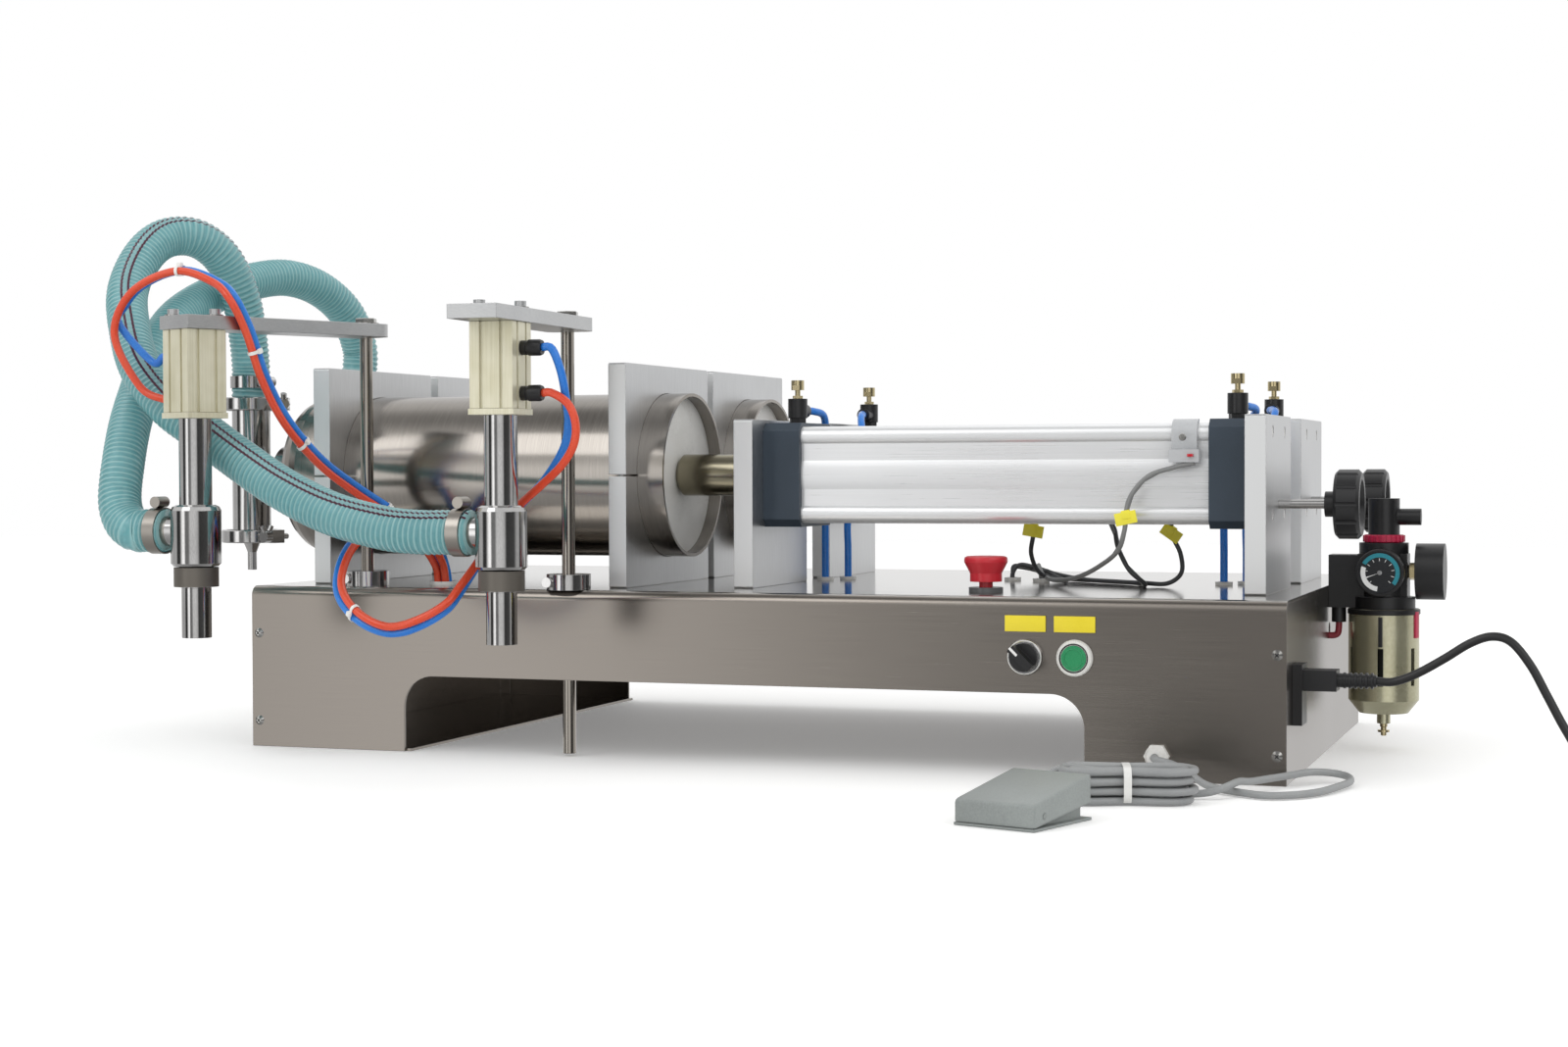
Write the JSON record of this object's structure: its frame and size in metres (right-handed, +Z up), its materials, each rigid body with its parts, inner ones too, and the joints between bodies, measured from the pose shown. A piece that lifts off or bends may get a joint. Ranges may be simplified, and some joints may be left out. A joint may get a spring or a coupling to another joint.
{
  "type": "piston filling machine",
  "caption": "Bench-top liquid filling machine: product cylinders driven by air cylinders feed nozzles on height-adjustable posts, with a foot pedal, buttons and an air filter.",
  "frame": {"origin": "on the bench, under the middle of the machine with its pedal", "axes": "+X from the nozzles to the air filter, +Y from the front to the back, +Z up"},
  "size_m": [1.536, 0.8332, 0.5065],
  "materials": {
    "brushed_sheet": "fine brushed",
    "zinc_screws": "zinc plated",
    "machined_aluminium": "milled, satin anodised",
    "polished_steel": "polished",
    "slate_aluminium": "satin",
    "anodised_barrel": "satin anodised",
    "champagne_aluminium": "satin anodised",
    "black_plastic": "moulded satin",
    "white_plastic": "moulded",
    "dark_housing": "moulded",
    "beige_guard": "moulded",
    "grey_painted": "hammered grey",
    "teal_hose": "translucent, wire reinforced",
    "red_tube": "extruded",
    "blue_tube": "extruded",
    "black_rubber": "satin",
    "grey_rubber": "satin",
    "white_piston": "turned",
    "red_plastic": "moulded",
    "green_plastic": "moulded",
    "brass_knob": "nickel plated"
  },
  "bodies": {
    "machine": {"frame_shell": "brushed_sheet", "left_end_cover": "brushed_sheet", "right_end_cover": "brushed_sheet", "fasteners": "zinc_screws", "cylinder_saddles": "machined_aluminium", "cylinder_clamps": "machined_aluminium", "air_plates": "machined_aluminium", "fill_tubes": "polished_steel", "cylinder_heads": "polished_steel", "valve_tees": "polished_steel", "pipe_clamps": "polished_steel", "air_caps": "slate_aluminium", "air_barrels": "anodised_barrel", "flow_bodies": "black_plastic", "post_collars": "polished_steel", "control_bezels": "white_plastic", "cable_glands": "white_plastic", "reed_sensors": "anodised_barrel", "solenoid_valves": "dark_housing", "power_supply": "dark_housing", "mains_inlet": "black_plastic", "filter_body": "black_plastic", "filter_bowl": "beige_guard", "pressure_gauges": "black_plastic", "pedal_base": "grey_painted", "product_hose_left": "teal_hose", "product_hose_right": "teal_hose", "red_air_tubes": "red_tube", "blue_air_tubes": "blue_tube", "mains_cord": "black_rubber", "mains_plug": "black_plastic", "mains_coil": "black_rubber", "wall_plug": "black_plastic", "pedal_cable": "grey_rubber", "pedal_hank": "grey_rubber"},
    "piston_train_front": {"fill_piston_front": "white_piston", "piston_rod_front": "polished_steel"},
    "piston_train_rear": {"fill_piston_rear": "white_piston", "piston_rod_rear": "polished_steel"},
    "stop_screw_front": {"stroke_screw_front": "polished_steel"},
    "stop_wheel_front": {"stroke_wheel_front": "black_plastic"},
    "stop_screw_rear": {"stroke_screw_rear": "polished_steel"},
    "stop_wheel_rear": {"stroke_wheel_rear": "black_plastic"},
    "left_nozzle_set": {"post_left": "machined_aluminium", "actuator_left": "champagne_aluminium", "nozzle_left": "polished_steel"},
    "right_nozzle_set": {"post_right": "machined_aluminium", "actuator_right": "champagne_aluminium", "nozzle_right": "polished_steel"},
    "left_valve_rod": {"valve_rod_left": "polished_steel"},
    "right_valve_rod": {"valve_rod_right": "polished_steel"},
    "emergency_stop": {"emergency_button": "red_plastic"},
    "mode_selector": {"selector_knob": "black_plastic"},
    "start": {"start_button": "green_plastic"},
    "pedal_flap": {"pedal_lever": "grey_painted"},
    "regulator": {"regulator_knob": "black_plastic"},
    "needle_a": {"needle_front_left": "brass_knob"},
    "needle_b": {"needle_front_right": "brass_knob"},
    "needle_c": {"needle_rear_left": "brass_knob"},
    "needle_d": {"needle_rear_right": "brass_knob"}
  },
  "joints": [
    {"name": "front_piston_slide", "type": "slide", "parent": "machine", "child": "piston_train_front", "axis": [-1, 0, 0], "range_m": [0, 0.28]},
    {"name": "rear_piston_slide", "type": "slide", "parent": "machine", "child": "piston_train_rear", "axis": [-1, 0, 0], "range_m": [0, 0.28]},
    {"name": "front_stop_feed", "type": "slide", "parent": "machine", "child": "stop_screw_front", "axis": [-1, 0, 0], "range_m": [0, 0.03]},
    {"name": "front_stop_turn", "type": "hinge", "parent": "stop_screw_front", "child": "stop_wheel_front", "pos_m": [0.52703, 0.04438, 0.226], "axis": [-1, 0, 0], "range_deg": [0, 5400]},
    {"name": "rear_stop_feed", "type": "slide", "parent": "machine", "child": "stop_screw_rear", "axis": [-1, 0, 0], "range_m": [0, 0.03]},
    {"name": "rear_stop_turn", "type": "hinge", "parent": "stop_screw_rear", "child": "stop_wheel_rear", "pos_m": [0.52703, 0.26498, 0.226], "axis": [-1, 0, 0], "range_deg": [0, 5400]},
    {"name": "left_post_height", "type": "slide", "parent": "machine", "child": "left_nozzle_set", "axis": [0, 0, 1], "range_m": [0, 0.08], "deforming": ["product_hose_left", "red_air_tubes", "blue_air_tubes"]},
    {"name": "right_post_height", "type": "slide", "parent": "machine", "child": "right_nozzle_set", "axis": [0, 0, 1], "range_m": [0, 0.08], "deforming": ["product_hose_right", "red_air_tubes", "blue_air_tubes"]},
    {"name": "left_valve_lift", "type": "slide", "parent": "left_nozzle_set", "child": "left_valve_rod", "axis": [0, 0, 1], "range_m": [0, 0.012]},
    {"name": "right_valve_lift", "type": "slide", "parent": "right_nozzle_set", "child": "right_valve_rod", "axis": [0, 0, 1], "range_m": [0, 0.012]},
    {"name": "stop_press", "type": "slide", "parent": "machine", "child": "emergency_stop", "axis": [0, 0, -1], "range_m": [0, 0.004], "stiffness_N_per_m": 800, "springref_m": -0.003},
    {"name": "start_press", "type": "slide", "parent": "machine", "child": "start", "axis": [0, 1, 0], "range_m": [0, 0.003], "stiffness_N_per_m": 500, "springref_m": -0.003},
    {"name": "selector_turn", "type": "hinge", "parent": "machine", "child": "mode_selector", "pos_m": [0.28903, -0.10962, 0.1], "axis": [0, 1, 0], "range_deg": [0, 90]},
    {"name": "pedal_press", "type": "hinge", "parent": "machine", "child": "pedal_flap", "pos_m": [0.31036, -0.38231, 0.01], "axis": [0.9511, -0.309, 0], "range_deg": [-7, 0], "stiffness_Nm_per_rad": 2, "springref_deg": 6.88},
    {"name": "regulator_turn", "type": "hinge", "parent": "machine", "child": "regulator", "pos_m": [0.55303, 0.18038, 0.2], "axis": [0, 0, 1], "range_deg": [0, 1080]},
    {"name": "needle_a_turn", "type": "hinge", "parent": "machine", "child": "needle_a", "pos_m": [0.03453, 0.04438, 0.323], "axis": [0, 0, 1], "range_deg": [0, 1440]},
    {"name": "needle_b_turn", "type": "hinge", "parent": "machine", "child": "needle_b", "pos_m": [0.44153, 0.04438, 0.323], "axis": [0, 0, 1], "range_deg": [0, 1440]},
    {"name": "needle_c_turn", "type": "hinge", "parent": "machine", "child": "needle_c", "pos_m": [0.03453, 0.26498, 0.323], "axis": [0, 0, 1], "range_deg": [0, 1440]},
    {"name": "needle_d_turn", "type": "hinge", "parent": "machine", "child": "needle_d", "pos_m": [0.44153, 0.26498, 0.323], "axis": [0, 0, 1], "range_deg": [0, 1440]}
  ],
  "couplings": [
    {"joint": "front_stop_feed", "follows": "front_stop_turn", "m_per_rad": 0.0003183},
    {"joint": "rear_stop_feed", "follows": "rear_stop_turn", "m_per_rad": 0.0003183}
  ]
}
